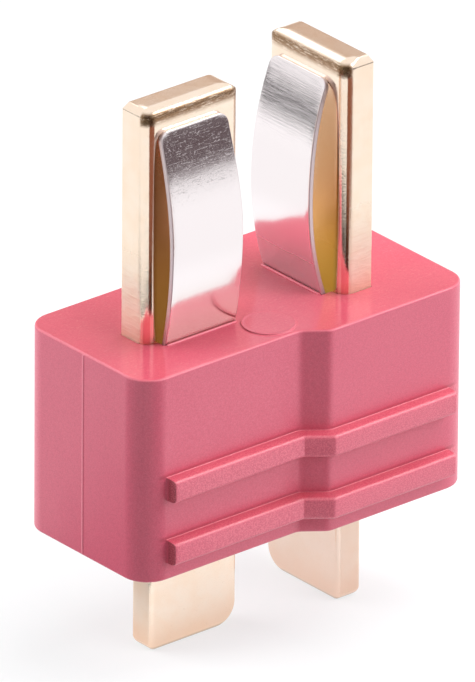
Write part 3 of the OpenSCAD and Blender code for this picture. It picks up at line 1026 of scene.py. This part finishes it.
def nickel_finish(h, s, side):
    """Bright nickel. The crossbar's spring is brushed across at its free end; the stem's is finely
    scratched along and across there. Both are smoother on the crown and a little dulled and pinker along
    their edges. Near the nylon they are painted in another tint, a painted reflection that changes how the
    red housing shows in them, and the crossbar's is also rougher there."""
    m = Finish("spring_nickel_" + side)
    face = h.mating_z / MM
    free_end = m.axis("Z").ramp(face + 5.22, face + 7.22)
    swell = m.bump(m.noise(0.4, 2), 0.002)
    if side == "stem":
        lines = m.noise(0.03, 1, stretch=(0.035, 0.035, 0.6), distortion=0.8)
        other = m.noise(0.03, 1, stretch=(0.7, 0.035, 0.035), distortion=0.8)
        dots = m.noise(0.08, 1).ramp(0.66, 0.74)
        marks = lines.ramp(0.6, 0.74) * 0.5 + other.ramp(0.6, 0.74) * 0.35 + dots
        skin = m.bump(marks * free_end, 0.0021, swell)
    else:
        marks = m.noise(0.05, 3, stretch=(3.0, 3.0, 0.035), roughness=0.6)
        skin = m.bump(marks * (free_end * 0.9 + 0.1), 0.0036, swell)
    broad = m.noise(0.2, 2, stretch=(5.0, 5.0, 0.16))
    near_nylon = 1 - m.axis("Z").ramp(face + 0.22, face + 3.02)
    tone = m.mix(marks.ramp(0.5, 0.8) * free_end * 0.45, tuple(s.nickel), (0.74, 0.63, 0.68))
    # Painted reflection: near the nylon the stem's spring is tinted warmer and the crossbar's greener,
    # which changes how the red housing shows in them.
    tone = m.mix(near_nylon, tone, (0.78, 0.72, 0.66) if side == "stem" else (0.84, 0.90, 0.88))
    trim = abs(m.facing("X" if side == "stem" else "Y")).ramp(0.15, 0.5)
    tone = m.mix(trim * 0.5, tone, (0.70, 0.56, 0.60))
    rough = broad * 0.05 + (s.gloss - 0.03) + marks.ramp(0.4, 0.9) * free_end * 0.06 + trim * 0.3
    if side == "crossbar":
        rough = rough + near_nylon * 0.2
    return m.set(Base_Color=tone, Metallic=1.0, Roughness=rough, Normal=skin)


# Operators


def settings():
    """The four groups of sizes and colours."""
    scene = bpy.context.scene
    return scene.plug_housing, scene.plug_blades, scene.plug_springs, scene.plug_stage


def settle(piece, node):
    """Ties a finished piece to the frame's body and hides the node in model.glb that it stands for."""
    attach(piece, "root")
    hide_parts(node)


class PLUG_OT_housing(bpy.types.Operator):
    """Builds the moulded housing with its ribs, slots and moulding marks"""

    bl_idname = "plug.housing"
    bl_label = "Build Housing"

    def execute(self, context):
        housing, blades, springs, _ = settings()
        piece = housing_shell(housing, blades, springs).mesh("moulded_housing", nylon_finish(housing))
        settle(piece, "housing")
        return {"FINISHED"}


class PLUG_OT_blades(bpy.types.Operator):
    """Builds the two gold-plated blades and their solder tails"""

    bl_idname = "plug.blades"
    bl_label = "Build Blades"

    def execute(self, context):
        housing, blades, _, _ = settings()
        for side, place in PLACES.items():
            gold = gold_finish(housing, blades, side)
            shell = blade_shell(housing, blades)
            add_tail(shell, housing, blades, side)
            settle(shell.mesh(side + "_contact", gold, place), side + "_blade")
        return {"FINISHED"}


class PLUG_OT_springs(bpy.types.Operator):
    """Builds the two bowed leaf springs"""

    bl_idname = "plug.springs"
    bl_label = "Build Springs"

    def execute(self, context):
        housing, _, springs, _ = settings()
        for side, crown in crowns(springs).items():
            nickel = nickel_finish(housing, springs, side)
            shell = spring_shell(housing, springs, crown, SPRING_LEAN[side])
            settle(shell.mesh(side + "_leaf", nickel, PLACES[side]), side + "_spring")
        return {"FINISHED"}


LAMP_AWAY = 0.2  # from the plug's middle, in metres


def lamp(name, towards, size, radiance, mirrored=False):
    """A softbox: an area lamp facing the plug's middle, of even brightness. Only a mirrored one
    shows in reflections."""
    middle = Vector((0, 0, 0.011))
    direction = Vector(towards).normalized()
    light = bpy.data.lights.new(name, "AREA")
    light.shape = "RECTANGLE"
    light.size, light.size_y = size
    light.energy = radiance * HALF_TURN * size[0] * size[1]
    thing = put_in_scene(name, light)
    thing.visible_glossy = mirrored
    thing.location = middle + direction * LAMP_AWAY
    thing.rotation_euler = direction.to_track_quat("Z", "Y").to_euler()


def card(name, start, stop, inner, outer, tone, flag=False):
    """A curved card round the plug between two bearings in degrees, seen only in reflections. Its
    two long edges are given as (distance from the plug's middle, height), so it stands upright
    or lies flat. A flag also stands in the way of the surroundings' soft light, and gives its
    own instead."""
    way = ways(np.radians(np.linspace(start, stop, 25)))
    rows = np.stack([np.column_stack([way * near, np.full(25, z)]) for near, z in (inner, outer)])
    mesh = bpy.data.meshes.new(name)
    mesh.from_pydata(rows.reshape(-1, 3).tolist(), [], strip_faces(2, 25, False).tolist())
    m = Finish(name)
    plug(m.tree, m.end, m.node("Emission", Color=tone, Strength=1.0))
    mesh.materials.append(m.material)
    thing = put_in_scene(name, mesh)
    thing.visible_camera = thing.visible_transmission = thing.visible_shadow = False
    thing.visible_diffuse = flag


def studio_floor(tone):
    """A round pale floor, white to the eye and in reflections because it also glows for them. Near
    the plug more of what is seen comes from the lamps, so the shadow shows. rings are its radii
    and middle its place, in metres, and the two distances squared say where near ends."""
    rings, middle, steps = np.array([0.02, 0.06, 0.15]), np.array([-0.05, 0.05]), 96
    flat = middle + rings[:, None, None] * ways(full_turn(steps))[None]
    rows = np.concatenate([flat, np.zeros((len(rings), steps, 1))], -1)
    faces = strip_faces(len(rings), steps).tolist() + [list(range(steps))]
    mesh = bpy.data.meshes.new("floor")
    mesh.from_pydata(rows.reshape(-1, 3).tolist(), [], faces)
    floor = put_in_scene("floor", mesh)
    m = Finish("floor_paper")
    m.set(Base_Color=tone, Roughness=0.9, Specular_IOR_Level=0.1)
    away = (m.axis("X") * m.axis("X") + m.axis("Y") * m.axis("Y")).ramp(12.0**2, 34.0**2)
    glow = m.node("Emission", Color=m.mix(away, (0.985, 1.0, 1.01), (0.72, 0.72, 0.72)), Strength=1.56)
    amount, lit = seen_rays(m.tree) * (away * 0.33 + 0.42), Wire(m.tree, m.shader.outputs[0])
    plug(m.tree, m.end, add_node(m.tree, "MixShader", {0: amount, 1: lit, 2: glow}))
    mesh.materials.append(m.material)


def studio_sky(strength):
    """White surroundings to the eye and in reflections, and a weaker even light on the plug."""
    world = bpy.data.worlds.new("studio")
    bpy.context.scene.world = world
    world.use_nodes = True
    tree = world.node_tree
    back = tree.nodes["Background"].inputs
    plug(tree, back["Color"], (1, 1, 1))
    plug(tree, back["Strength"], seen_rays(tree) * (1 - strength) + strength)


def studio_camera():
    """A long lens at the plug's left front, a little above it and turned by under half a
    degree. It looks at the plug's middle, moved sideways to frame it."""
    bearing, rise, roll = math.radians(-39.981), math.radians(25.614), math.radians(0.443)
    back = Vector((
        math.sin(bearing) * math.cos(rise),
        -math.cos(bearing) * math.cos(rise),
        math.sin(rise),
    ))
    right = Vector((math.cos(bearing), math.sin(bearing), 0))
    up = back.cross(right)
    side = right * math.cos(roll) + up * math.sin(roll)
    top = up * math.cos(roll) - right * math.sin(roll)
    data = bpy.data.cameras.new("camera")
    data.sensor_width = 36
    data.lens = 945.9
    data.clip_start, data.clip_end = 0.1, 5
    camera = put_in_scene("camera", data)
    target = Vector((0, 0, 9.38)) + side * -0.1433 + top * 1.918
    camera.location = (target + back * 700) * MM
    camera.rotation_euler = Matrix((side, top, back)).transposed().to_euler()
    bpy.context.scene.camera = camera


class PLUG_OT_stage(bpy.types.Operator):
    """Builds the floor, the lamps, the cards and the camera"""

    bl_idname = "plug.stage"
    bl_label = "Build Stage"

    def execute(self, context):
        stage = settings()[3]
        studio_floor(tuple(stage.floor))
        studio_sky(stage.sky)
        lamp("overhead_box", (0.55, -0.1, 1), (0.2, 0.2), 3.6 * stage.lamps)
        lamp("right_box", (0.37, -0.93, 0.5), (0.16, 0.12), 3.1 * stage.lamps)
        lamp("left_box", (-0.6, 0.78, 0.45), (0.16, 0.12), 6.2 * stage.lamps)
        lamp("back_strip", (0.1, 0.72, 0.75), (0.14, 0.05), 1.0 * stage.lamps, True)
        lamp("front_strip", (0.58, -0.43, 0.72), (0.12, 0.06), 3.0 * stage.lamps, True)
        card("right_card", -80, -12, (0.07, 0.0085), (0.07, 0.028), (0.13, 0.095, 0.10))
        card("near_card", -165, -95, (0.11, 0.004), (0.11, 0.12), (0.10, 0.06, 0.05), True)
        # Painted shade and reflection: these two floor cards are seen only in reflections, the near one a
        # near-black patch for shade on the floor by the housing's near corner, the brown one a brown floor
        # for the blades' rolls to mirror.
        card("near_floor_card", -212, -88, (0.0105, 0.0003), (0.036, 0.0003), (0.01, 0.005, 0.005))
        card("brown_floor_card", -118, -68, (0.036, 0.0003), (0.11, 0.0003), (0.28, 0.11, 0.07))
        card("far_card", 95, 165, (0.19, 0.007), (0.19, 0.029), (0.01, 0.01, 0.01))
        card("back_card", 25, 75, (0.1, 0.03), (0.1, 0.075), (0.62, 0.49, 0.42))
        studio_camera()
        bpy.context.scene.view_settings.view_transform = "Standard"
        return {"FINISHED"}


class PLUG_PT_panel(bpy.types.Panel):
    """The plug's builders and settings"""

    bl_label = "Battery Lead Plug"
    bl_idname = "PLUG_PT_panel"
    bl_space_type = "VIEW_3D"
    bl_region_type = "UI"
    bl_category = "Plug"

    def draw(self, context):
        layout = self.layout
        for operator in OPERATORS:
            layout.operator(operator.bl_idname)
        for group in settings():
            box = layout.box()
            for key in group.__annotations__:
                box.prop(group, key)


OPERATORS = (PLUG_OT_housing, PLUG_OT_blades, PLUG_OT_springs, PLUG_OT_stage)
GROUPS = {
    "plug_housing": PlugHousingSettings,
    "plug_blades": PlugBladeSettings,
    "plug_springs": PlugSpringSettings,
    "plug_stage": PlugStageSettings,
}


def register():
    for item in (*GROUPS.values(), *OPERATORS, PLUG_PT_panel):
        bpy.utils.register_class(item)
    for name, group in GROUPS.items():
        setattr(bpy.types.Scene, name, bpy.props.PointerProperty(type=group))


def unregister():
    for name in GROUPS:
        delattr(bpy.types.Scene, name)
    for item in (PLUG_PT_panel, *reversed(OPERATORS), *reversed(list(GROUPS.values()))):
        bpy.utils.unregister_class(item)


def main():
    """Builds every piece and the stage."""
    register()
    bpy.ops.plug.housing()
    bpy.ops.plug.blades()
    bpy.ops.plug.springs()
    bpy.ops.plug.stage()


if __name__ == "__main__":
    main()
